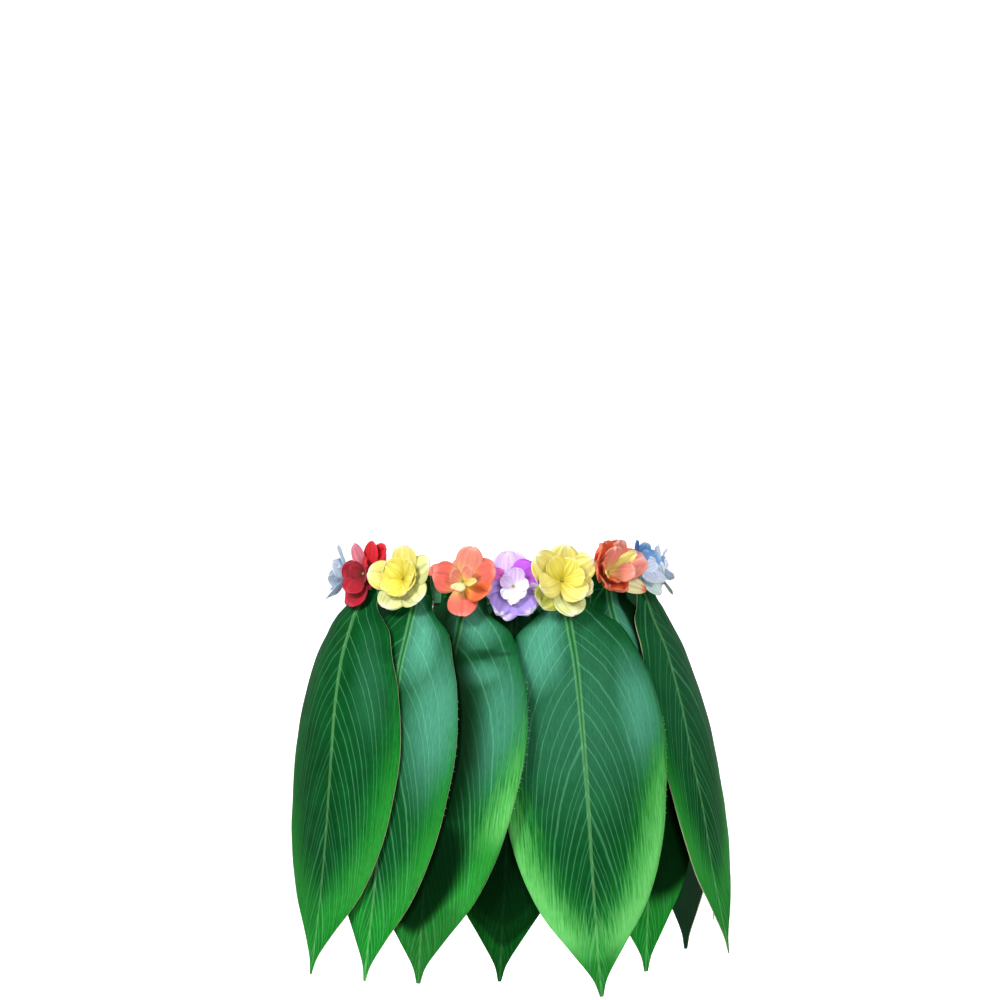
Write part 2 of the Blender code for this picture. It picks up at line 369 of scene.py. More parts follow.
# How many mm a side vein runs down for each mm outwards, at a share of the length.
VEIN_STEEPNESS = ((0, 0.6), (0.3, 1.1), (0.55, 2), (0.8, 3), (1, 3.4))
# Painted sheen: bluish-green patches painted into the satin's colour where its highlights fall.
PAINTED_SHEEN_PATCHES = (
    # the leaf's number, across, share of the length, half width, half height and strength
    (1, 0.55, 0.28, 0.4, 0.2, 0.15),
    (2, 0.38, 0.17, 0.6, 0.17, 1),
    (2, 0.72, 0.36, 0.75, 0.28, 0.78),
    (3, 0.3, 0.12, 0.8, 0.1, 0.8),
    (3, 0.45, 0.245, 0.6, 0.05, 0.7),
    (3, 0.72, 0.37, 0.5, 0.27, 0.62),
    (4, 0.3, 0.2, 0.5, 0.15, 0.4),
    (5, -0.5, 0.16, 0.6, 0.2, 1),
    (5, 0, 0.32, 1.4, 0.38, 0.28),
    (5, 0.75, 0.35, 0.5, 0.22, 0.8),
    (6, 0.15, 0.16, 0.6, 0.14, 0.8),
    (7, 0, 0.3, 1.5, 0.4, 0.1),
    (9, 0.3, 0.3, 0.5, 0.2, 0.6),
    (10, 0.4, 0.34, 0.5, 0.2, 0.8),
    (11, -0.3, 0.25, 0.5, 0.18, 0.6),
    (12, 0.4, 0.3, 0.6, 0.2, 0.85),
    (13, 0.3, 0.33, 0.55, 0.18, 0.65),
    (14, 0.4, 0.26, 0.6, 0.22, 0.9),
    (15, 0.3, 0.36, 0.55, 0.2, 0.6),
)
SHADE_PATCHES = (
    # the same, for painted shade: the shadows that neighbouring leaves cast, and leaves lying in shadow,
    # painted dark
    (1, -0.4, 0.66, 0.75, 0.3, 0.22),
    (3, -0.6, 0.44, 1.28, 0.46, 1),
    (3, -0.3, 0.72, 1.05, 0.2, 1),
    (3, 0.4, 0.196, 0.6, 0.012, 0.55),
    (3, -0.3, 0.95, 1.8, 0.2, 0.45),
    (4, 0, 0.5, 1.8, 0.5, 1),
    (4, 0, 0.88, 3, 0.45, 0.78),
    (4, 0.1, 0.78, 1.4, 0.18, 0.95),
    (5, 0, 1, 2, 0.1, 0.24),
    (6, 0.8, 0.2, 0.55, 0.2, 1.4),
    (6, 0.35, 0.68, 1.3, 0.18, 1),
    (9, -0.6, 0.8, 1.8, 0.45, 0.9),
    (10, -0.9, 0.5, 0.5, 0.5, 0.7),
    (11, -0.9, 0.45, 0.5, 0.45, 0.6),
    (12, -0.9, 0.55, 0.6, 0.5, 0.9),
    (13, -0.95, 0.45, 0.5, 0.45, 0.6),
    (14, -0.85, 0.6, 0.6, 0.5, 0.8),
    (15, -0.9, 0.5, 0.5, 0.5, 0.6),
    (16, -0.9, 0.5, 0.6, 0.5, 0.6),
)


def eased(rows, at):
    """A table's other columns at this value of its first one, by a smooth curve through its rows."""
    last = len(rows) - 1
    i = min(max(sum(row[0] <= at for row in rows) - 1, 0), last - 1)
    before, here, there, after = rows[max(i - 1, 0)], rows[i], rows[i + 1], rows[min(i + 2, last)]
    span = there[0] - here[0]
    t = min(max((at - here[0]) / span, 0.0), 1.0)
    values = []
    for b, h, n, a in zip(before[1:], here[1:], there[1:], after[1:]):
        start = (n - b) / (there[0] - before[0]) * span
        end = (a - h) / (after[0] - here[0]) * span
        values.append(h + t * (start + t * (3 * (n - h) - 2 * start - end + t * (start + end - 2 * (n - h)))))
    return values


def smooth(low, high, at):
    """0 below low, 1 above high and an even S curve between."""
    t = min(max((at - low) / (high - low), 0.0), 1.0)
    return t * t * (3 - 2 * t)


def leaf_place(leaf, x, v, raised):
    """A point of a leaf: x -1 to 1 across it, v 0 to 1 down it, raised in mm off its middle surface."""
    _, turn, swing, bow, hang, widest, layer, lift, flare = leaf
    drop = hang * MM * v - BAND_HEIGHT / 2
    half_width, half_depth = (MM * size for size in eased(FIGURE, drop / MM))
    across = x * widest * MM * eased(LEAF_CUT, v)[0]
    middle = math.radians(turn + swing * v + bow * 4 * v * (1 - v))
    halfway = middle + across / 2 / math.hypot(half_width * math.cos(middle), half_depth * math.sin(middle))
    here = middle + across / math.hypot(half_width * math.cos(halfway), half_depth * math.sin(halfway))
    spread = math.sin(math.pi / 2 * min(max((drop - SPREAD_START) / SPREAD_LENGTH, 0), 1))
    out = spread * (layer + lift * across / (widest * MM)) + flare * v**3
    point = around(here, half_width, half_depth, (out + raised) * MM)
    point.z = waist_height(here) - drop
    return point


def patch_strength(patches, even, number, x, v):
    """How strong a leaf's patches are at this place, from 0 to 1; even is the share at full strength."""
    found = 0.0
    for which, across, down, half_across, half_down, strength in patches:
        if which == number:
            away = math.hypot((x - across) / half_across, (v - down) / half_down)
            found = max(found, strength * (1 - smooth(even, 1.0, away)))
    return min(found, 1.0)


def print_of(number, what):
    """A value of a leaf's print: its own one, or else the usual one."""
    return OWN_PRINTS.get(number, {}).get(what, USUAL_PRINT[what])


def from_rib(number, x):
    """A place across a leaf, -1 to 1, counted from its midrib, which may lie off the middle."""
    shift = print_of(number, "rib")
    return (x - shift) / (1 - shift if x > shift else 1 + shift)


def rib_half_gap(v):
    """Half the distance between the two pale lines of the midrib, in mm."""
    return RIB_HALF_GAP * max(0.0, 1 - v / RIB_MEETS)


def leaf_relief(leaf, x, v):
    """How far the satin stands off its middle surface, in mm: midrib, neck folds, soft waves and creases."""
    number, hang, widest = int(leaf[0][-2:]), leaf[4], leaf[5]
    seed = 7.3 * number
    half = widest * eased(LEAF_CUT, v)[0]
    off_line = abs(from_rib(number, x) * half) - rib_half_gap(v)
    rib = RIB_HEIGHT * (1 - v) * smooth(0.06, 0.12, v) * math.exp(-((off_line / RIB_SPREAD) ** 2))
    loose = smooth(0.14, 0.40, v)
    wave = WAVE_DEPTH * loose * noise.noise(Vector((1.1 * x + seed, 5.5 * v, seed)))
    ripple = RIPPLE_DEPTH * loose * abs(x) * noise.noise(Vector((2.0 * x, 13 * v + seed, 2 * seed)))
    folds = smooth(0.05, 0.10, v) * (1 - smooth(0.14, 0.26, v))
    neck = NECK_FOLD_DEPTH * folds * noise.noise(Vector((x * half / 5.5 + seed, 2.5 * v, 3 * seed)))
    crease = 0.0
    for which, middle, slant, start, end, depth, reach in CREASES:
        if which == number:
            away = abs(v - middle - slant * x) * hang / reach
            begins = smooth(start - CREASE_FADE, start + CREASE_FADE, x)
            ends = 1 - smooth(end - CREASE_FADE, end + CREASE_FADE, x)
            crease -= depth * begins * ends * math.exp(-away)
    return rib + wave + ripple + neck + crease


# The print: dark green satin, two pale midrib lines, pale side veins, and bright green margins and tip drawn
# in streaks along the leaf, under a painted bluish sheen where the satin's highlights fall and painted shade
# where neighbours shadow it. Lengths in its two UV maps are millimetres.
SATIN = {
    "dark": "022C0F",
    "body": "074E1F",
    # painted sheen, the bluish-green colour of the satin's highlights
    "bloom": "4A9078",
    "green": "0E741C",
    "green_streak": "074A10",
    "margin": "66B862",
    "vein": "88EAA8",
    "rib": "B0FFA4",
    "rib_groove": "12572C",
    # painted shade, the colour of the satin in shadow
    "shade": "011604",
    "reverse_dark": "082A15",
    "reverse": "143F24",
    "cut_edge": "A39C78",
}
MARKS = ("bloom", "bright", "rib_gap", "margin_light", "vein_slant", "shade")
MULTIPLY = {"operation": "MULTIPLY"}
MULTIPLY_ADD = {"operation": "MULTIPLY_ADD"}
SMOOTHSTEP = {"interpolation_type": "SMOOTHSTEP"}

satin, tree, shader = new_material("printed_polyester_satin")
satin_colours = {name: linear(colour) for name, colour in SATIN.items()}
marks = {name: add_node(tree, "Attribute", {"attribute_name": name}).outputs["Fac"] for name in MARKS}
print_map = add_node(tree, "UVMap", {"uv_map": "print"})
place = add_node(tree, "SeparateXYZ", None, {"Vector": print_map})
vein_map = add_node(tree, "UVMap", {"uv_map": "veins"})
vein_place = add_node(tree, "SeparateXYZ", None, {"Vector": vein_map})

# Long streaks of the print, 1.3 mm wide and about 26 mm long, finer ones as wide as a few threads, and
# blotches about 22 mm across.
streak_place = add_node(tree, "VectorMath", MULTIPLY, {0: print_map, 1: (1 / 1.3, 1 / 26, 1)})
streaks = add_node(tree, "TexNoise", None, {"Vector": streak_place, "Scale": 1.0, "Detail": 3.0})
thread_place = add_node(tree, "VectorMath", MULTIPLY, {0: print_map, 1: (1 / 0.7, 1 / 6, 1)})
threads = add_node(tree, "TexNoise", None, {"Vector": thread_place, "Scale": 1.0, "Detail": 1.0})
blotches = add_node(tree, "TexNoise", None, {"Vector": print_map, "Scale": 1 / 22, "Detail": 2.0})

# Side veins 14 mm apart along the midrib, unevenly spaced, with fainter ones 3.5 mm apart between.
along = vein_place.outputs["X"]
uneven = add_node(tree, "TexNoise", {"noise_dimensions": "1D"}, {"W": along, "Scale": 1 / 26, "Detail": 1.0})
shift = add_node(tree, "Math", MULTIPLY_ADD, {0: uneven, 1: 18.0, 2: along})
drawn = add_node(tree, "Math", MULTIPLY_ADD, {0: blotches, 1: 4.0, 2: shift})
vein_kinds = []
for pitch, core, rim, strength in ((14.0, 0.2, 0.8, 1.0), (3.5, 0.0, 0.5, 0.10)):
    away = add_node(tree, "Math", {"operation": "PINGPONG"}, {0: drawn, 1: pitch / 2})
    off_vein = add_node(tree, "Math", {"operation": "DIVIDE"}, {0: away, 1: marks["vein_slant"]})
    reach = {"Value": off_vein, "From Min": core, "From Max": rim, "To Min": strength, "To Max": 0.0}
    vein_kinds.append(add_node(tree, "MapRange", SMOOTHSTEP, reach))
veins = add_node(tree, "Math", {"operation": "MAXIMUM"}, {0: vein_kinds[0], 1: vein_kinds[1]})

# The midrib's two pale lines, each 2 mm wide, run together four fifths of the way down and fade. The streaks
# break up the inner limit of the bright margin.
off_middle = add_node(tree, "Math", {"operation": "ABSOLUTE"}, {0: place.outputs["X"]})
off_line = add_node(tree, "Math", {"operation": "SUBTRACT"}, {0: off_middle, 1: marks["rib_gap"]})
beside_line = add_node(tree, "Math", {"operation": "ABSOLUTE"}, {0: off_line})
streaky = add_node(tree, "Math", MULTIPLY_ADD, {0: streaks, 1: 1.0, 2: marks["bright"]})
ramps = {}
for name, kind, source, start, end, first, last in (
    ("vein_side", SMOOTHSTEP, vein_place.outputs["Y"], 0.55, 1, 1, 0.25),
    ("vein_tip", SMOOTHSTEP, place.outputs["Y"], 180, 310, 1, 0.12),
    ("vein_change", None, uneven, 0.3, 0.7, 0.7, 1),
    ("rib_tip", SMOOTHSTEP, place.outputs["Y"], 210, 320, 1, 0.1),
    ("groove", SMOOTHSTEP, off_line, -0.6, 0.2, 0.9, 0),
    ("green", SMOOTHSTEP, streaky, 0.25, 0.95, 0, 1),
    ("green_streaks", None, streaks, 0.46, 0.66, 0, 0.75),
    ("margin", SMOOTHSTEP, streaky, 0.45, 1.3, 0, 1),
    ("bloom_streaks", None, streaks, 0.2, 1, 0.55, 1.2),
    ("thread_light", None, threads, 0, 1, 0.72, 1.28),
):
    reach = {"Value": source, "From Min": start, "From Max": end, "To Min": first, "To Max": last}
    ramps[name] = add_node(tree, "MapRange", kind, reach)
reach = {"Value": beside_line, "From Min": 0.65, "From Max": 1.25, "To Min": ramps["rib_tip"]}
rib_line = add_node(tree, "MapRange", SMOOTHSTEP, {**reach, "To Max": 0.0})
vein_fade = add_node(tree, "Math", MULTIPLY, {0: ramps["vein_side"], 1: ramps["vein_tip"]})
vein_strength = add_node(tree, "Math", MULTIPLY, {0: vein_fade, 1: ramps["vein_change"]})
vein_ink = add_node(tree, "Math", MULTIPLY, {0: veins, 1: vein_strength})
margin_ink = add_node(tree, "Math", MULTIPLY, {0: ramps["margin"], 1: marks["margin_light"]})
painted_sheen_share = add_node(tree, "Math", MULTIPLY, {0: marks["bloom"], 1: ramps["bloom_streaks"]})
greens = {1: satin_colours["green"], 2: satin_colours["green_streak"]}
streaked_green = add_node(tree, "MixRGB", None, {0: ramps["green_streaks"], **greens})

# The print's colours lie on the dark ground with the painted sheen and the painted shade over them, and the
# threads of the satin break them up a little.
print_and_painted_light = add_node(tree, "MixRGB", None, {0: blotches, 1: satin_colours["dark"], 2: satin_colours["body"]})
for share, ink in (
    (painted_sheen_share, satin_colours["bloom"]),
    (ramps["green"], streaked_green),
    (margin_ink, satin_colours["margin"]),
    (vein_ink, satin_colours["vein"]),
    (ramps["groove"], satin_colours["rib_groove"]),
    (rib_line, satin_colours["rib"]),
    (marks["shade"], satin_colours["shade"]),
):
    print_and_painted_light = add_node(tree, "MixRGB", None, {0: share, 1: print_and_painted_light, 2: ink})
lit = add_node(tree, "VectorMath", {"operation": "SCALE"}, {0: print_and_painted_light, "Scale": ramps["thread_light"]})
relief = add_node(tree, "Math", MULTIPLY_ADD, {0: vein_ink, 1: 1.2, 2: threads})
weave = add_node(tree, "Bump", None, {"Strength": 0.5, "Distance": 0.00025, "Height": relief})
sheen = {"Roughness": 0.45, "Specular IOR Level": 0.02, "Specular Tint": linear("BFEBDD")}
set_inputs(shader, {"Base Color": lit, "Normal": weave, **sheen})

# The back of the satin is darker and duller, with long faint streaks, and the sealed edge is tan.
reverse, tree, shader = new_material("satin_reverse")
print_map = add_node(tree, "UVMap", {"uv_map": "print"})
thread_place = add_node(tree, "VectorMath", MULTIPLY, {0: print_map, 1: (1 / 1.4, 1 / 20, 1)})
threads = add_node(tree, "TexNoise", None, {"Vector": thread_place, "Scale": 1.0, "Detail": 3.0})
dull = add_node(tree, "MixRGB", None, {0: threads, 1: satin_colours["reverse_dark"], 2: satin_colours["reverse"]})
set_inputs(shader, {"Base Color": dull, "Roughness": 0.7, "Specular IOR Level": 0.1})
cut_edge, tree, shader = new_material("heat_sealed_edge")
set_inputs(shader, {"Base Color": satin_colours["cut_edge"], "Roughness": 0.6})

# Each leaf lies on its own part of the print, so that no two have the same streaks and veins, and the veins
# left of the midrib don't meet those on the right.
PRINT_STEP = 500
VEIN_STEP = 131
LEFT_STEP = 57
# How dark the painted shade gets at most.
DEEPEST_SHADE = 0.97
for leaf in LEAVES:
    name, hang, widest = leaf[0], leaf[4], leaf[5]
    number = int(name[-2:])
    mesh = bmesh.new()
    bmesh.ops.create_grid(mesh, x_segments=LEAF_FINE_COLUMNS, y_segments=LEAF_FINE_ROWS, size=1)
    at = {mark: mesh.verts.layers.float.new(mark) for mark in MARKS}
    prints = {}
    for vert in mesh.verts:
        x = math.copysign(abs(vert.co.x) ** RIB_CROWDING, vert.co.x)
        v = (1 - vert.co.y) / 2
        half = widest * eased(LEAF_CUT, v)[0]
        steepness = eased(VEIN_STEEPNESS, v)[0]
        side = from_rib(number, x)
        phase = hang * v - 2 * steepness * half * (1 - math.sqrt(max(0.0, 1 - abs(side))))
        prints[vert] = (side * half, hang * v + PRINT_STEP * number, phase + VEIN_STEP * number, abs(side))
        to_tip = print_of(number, "tip") * smooth(0.62, 1.0, v) * (1 - abs(x))
        to_side = print_of(number, "side") * smooth(0.35, 0.95, abs(x)) * smooth(0.34, 0.56, v)
        slanted = print_of(number, "right") * x
        vert[at["bright"]] = abs(x) - 1 + MARGIN_GROWTH * (v - MARGIN_START) + slanted + to_tip + to_side
        faded = 0.9 * smooth(*print_of(number, "fade"), v)
        vert[at["margin_light"]] = print_of(number, "light") * (1 - faded)
        vert[at["rib_gap"]] = rib_half_gap(v) * print_of(number, "gap")
        vert[at["vein_slant"]] = math.hypot(1, steepness)
        # Painted sheen where the satin's highlights fall, and painted shade where neighbours shadow it.
        vert[at["bloom"]] = patch_strength(PAINTED_SHEEN_PATCHES, 0.1, number, x, v)
        vert[at["shade"]] = DEEPEST_SHADE * patch_strength(SHADE_PATCHES, 0.7, number, x, v)
        vert.co = leaf_place(leaf, x, v, leaf_relief(leaf, x, v))
    print_layer = mesh.loops.layers.uv.new("print")
    vein_layer = mesh.loops.layers.uv.new("veins")
    for face in mesh.faces:
        left = sum(prints[loop.vert][0] for loop in face.loops) < 0
        for loop in face.loops:
            side, along, phase, share = prints[loop.vert]
            loop[print_layer].uv = (side, along)
            loop[vein_layer].uv = (phase + (LEFT_STEP if left else 0), share)
    piece = new_piece("satin_" + name, mesh, satin, reverse, cut_edge)
    wall = piece.modifiers.new("satin", "SOLIDIFY")
    wall.thickness = SATIN_THICKNESS
    wall.offset = 0
    wall.material_offset = 1
    wall.material_offset_rim = 2
    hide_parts(name)
    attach(piece, "root")


# Two rows of lockstitch in green thread hold the necks of the leaves to the waistband. They show on the
# inside of the band, and outside between the flowers.
STITCH_ROWS = (6.5 * MM, -6.5 * MM)
STITCHES = 212
STITCH_HALF_LENGTH = 1.35 * MM
THREAD_RADIUS = 0.32 * MM
THREAD_COLOUR = "1F7A42"

one_stitch = bmesh.new()
bmesh.ops.create_uvsphere(one_stitch, u_segments=6, v_segments=5, radius=1)
stitch_shape = bpy.data.meshes.new("one_stitch")
one_stitch.to_mesh(stitch_shape)
one_stitch.free()
stitch_mesh = bmesh.new()
for height in STITCH_ROWS:
    for k in range(STITCHES):
        turn = math.tau * (k + 0.5) / STITCHES
        over_leaf = False
        for leaf in LEAVES:
            apart = (turn - math.radians(leaf[1]) + math.pi) % math.tau - math.pi
            middle = turn - apart / 2
            arc = apart * math.hypot(BAND_HALF_WIDTH * math.cos(middle), BAND_HALF_DEPTH * math.sin(middle))
            over_leaf = over_leaf or abs(arc) < (LEAF_CUT[0][1] * leaf[5] - 1) * MM
        leaf_out = FIGURE[0][1] * MM - BAND_HALF_WIDTH + SATIN_THICKNESS / 2
        for out in (-BAND_WALL / 2, leaf_out if over_leaf else BAND_WALL / 2):
            spot = around(turn, *BAND_OVAL, out)
            spot.z = height + waist_height(turn)
            faces_out = around(turn, *BAND_OVAL, out + MM) - spot
            heading = Matrix.Rotation(math.atan2(faces_out.x, -faces_out.y), 4, "Z")
            shape = Matrix.Diagonal((STITCH_HALF_LENGTH, THREAD_RADIUS, THREAD_RADIUS, 1))
            stitch = stitch_shape.copy()
            stitch.transform(Matrix.Translation(spot) @ heading @ shape)
            stitch_mesh.from_mesh(stitch)
            bpy.data.meshes.remove(stitch)
bpy.data.meshes.remove(stitch_shape)
# Twisted filament thread, a little glossy, so that each stitch shows as a bright grain.
green_thread, tree, shader = new_material("green_polyester_thread")
set_inputs(shader, {"Base Color": linear(THREAD_COLOUR), "Roughness": 0.5})
stitches = new_piece("waistband_stitches", stitch_mesh, green_thread)
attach(stitches, "root")


# A few threads of the satin have come loose along the right edges of the leaves, 1 to 3 mm long. They stick
# out past the sealed edge, each bent its own way.
LOOSE_THREADS = (
    # the leaf's number, from and to down its right edge, and how many
    (2, 0.3, 0.62, 16),
    (3, 0.26, 0.58, 26),
    (5, 0.36, 0.6, 18),
    (9, 0.4, 0.65, 14),
    (11, 0.25, 0.5, 18),
    (12, 0.45, 0.7, 12),
    (14, 0.3, 0.62, 22),
)
LOOSE_RADIUS = 0.11 * MM

chance = random.Random(12)
loose_mesh = bmesh.new()
for number, start, end, count in LOOSE_THREADS:
    leaf = LEAVES[number - 1]
    for k in range(count):
        v = start + (end - start) * (k + chance.random()) / count
        edge, inner = (leaf_place(leaf, x, v, leaf_relief(leaf, x, v)) for x in (1.0, 0.96))
        length = chance.uniform(1.0, 2.8) * MM
        bent = Vector((chance.uniform(-0.4, 0.4), chance.uniform(-0.4, 0.4), chance.uniform(-0.9, 0.5)))
        heading = ((edge - inner).normalized() + bent).normalized()
        turned = heading.to_track_quat("Z", "Y").to_matrix().to_4x4()
        lies = Matrix.Translation(edge + heading * length * 0.4) @ turned
        tapered = {"radius1": LOOSE_RADIUS, "radius2": LOOSE_RADIUS * 0.6}
        bmesh.ops.create_cone(loose_mesh, cap_ends=True, segments=5, depth=length, matrix=lies, **tapered)
# Single filaments of the satin, which catch the light and look paler than the cloth.
pale_thread, tree, shader = new_material("loose_satin_thread")
set_inputs(shader, {"Base Color": linear("8FC9A0"), "Roughness": 0.6})
loose = new_piece("loose_threads", loose_mesh, pale_thread)
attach(loose, "root")


# The flowers are heat-shaped polyester: an outer layer of five to seven petals cut in one piece, and a
# smaller one on top. Both are sewn through the middle to the waistband, over the neck of a leaf.
GAP = 0.3 * MM
LEAF_WALL = 1.2 * MM
PETAL_WALL = 1.0 * MM
PETAL_THICKNESS = 0.45 * MM
PETAL_COLUMNS = 12
PETAL_ROWS = 14
ROW_CROWDING = 1.6
FLOWER_PITCH = 12
OUTER_CUP = 1.35
INNER_CUP = 1.15
INNER_STEEPER = 18
CUP_LIFT = 0.5 * MM
PETAL_STEP = 0.12 * MM
PETAL_ROOT = 0.16
PETAL_WIDEST = 0.62
PETAL_AREA = 0.75
# Uneven rims: notches as a share of the length, and the heights of ruffles, crinkles and warps in mm.
NOTCHES = 0.12
RUFFLES = 2.6
CRINKLES = 2.2
WARP = 0.5
FLOWERS = (
    # name, turn in degrees, height and radius in mm, slope of its petals and roll in degrees, colour
    ("flower_01", -60, 6, 28, 13, 20, "red"),
    ("flower_02", -38, 5, 29, 28, 50, "yellow"),
    ("flower_03", -14, 6, 29, 42, 10, "coral"),
    ("flower_04", 3.9, 2, 27.5, 11, 35, "purple"),
    ("flower_05", 21.7, 4, 29, 30, 60, "yellow"),
    ("flower_06", 41, 6, 28, 42, 25, "coral"),
    ("flower_07", 60.5, 5, 27, 16, 0, "blue"),
    ("flower_08", 87, 3, 25, 16, 40, "pale_blue"),
    ("flower_09", 116, 2, 28, 28, 15, "yellow"),
    ("flower_10", 138, 3, 28, 13, 55, "coral"),
    ("flower_11", 158.5, 2, 28, 42, 30, "purple"),
    ("flower_12", 178.5, 2, 28, 13, 5, "yellow"),
    ("flower_13", 198.5, 2, 28, 28, 45, "coral"),
    ("flower_14", 218.5, 3, 28, 42, 20, "blue"),
    ("flower_15", 241.5, 3, 28, 13, 60, "red"),
    ("flower_16", 270, 3, 28, 24, 35, "pale_blue"),
)
DYES = {
    # colour at the root, in the body and at the rim
    "red": ("6A0412", "BC1028", "DC4062"),
    "crimson": ("5A0310", "9E0A1E", "C42545"),
    "scarlet": ("9C0818", "E21428", "EA2A40"),
    "carnation": ("B02C48", "E08094", "EDA6B6"),
    "yellow": ("D6C434", "F4E986", "F6F3CC"),
    "straw": ("BEC456", "E2E59C", "F5F6DA"),
    "sunny": ("DCC81E", "F2E664", "F8F0A0"),
    "olive": ("9C9C26", "C6C858", "E0E0A0"),
    "coral": ("ECE084", "EF7462", "F39A8C"),
    "salmon": ("F4D87E", "EF9882", "F6B8AA"),
    "orange": ("F8C94A", "F06E3C", "F0906E"),
    "cream": ("E2EDB4", "F4EEBA", "F76A4A"),
    "pink": ("F6DE7A", "F7A08E", "FAB6B4"),
    "lilac": ("F2E6FC", "E6CCFA", "F0DEFC"),
    "magenta": ("C070E6", "D468F2", "E296F4"),
    "rose": ("C45ED0", "EC74D6", "F4A6E4"),
    "violet": ("9078D2", "B79CEC", "EADFFA"),
    "white": ("F0E8FA", "FAF6FF", "FFFFFF"),
    "blue": ("3E74B8", "74A8E0", "B4D4F0"),
    "navy": ("24508E", "3E72B4", "84AEDA"),
    "lavender": ("C4D6F2", "E2ECFC", "F6F9FF"),
    "mint": ("CFECEC", "E2F6F0", "F6FCFA"),
    "ice": ("C6DCF2", "E2EFFC", "F6FAFF"),
}
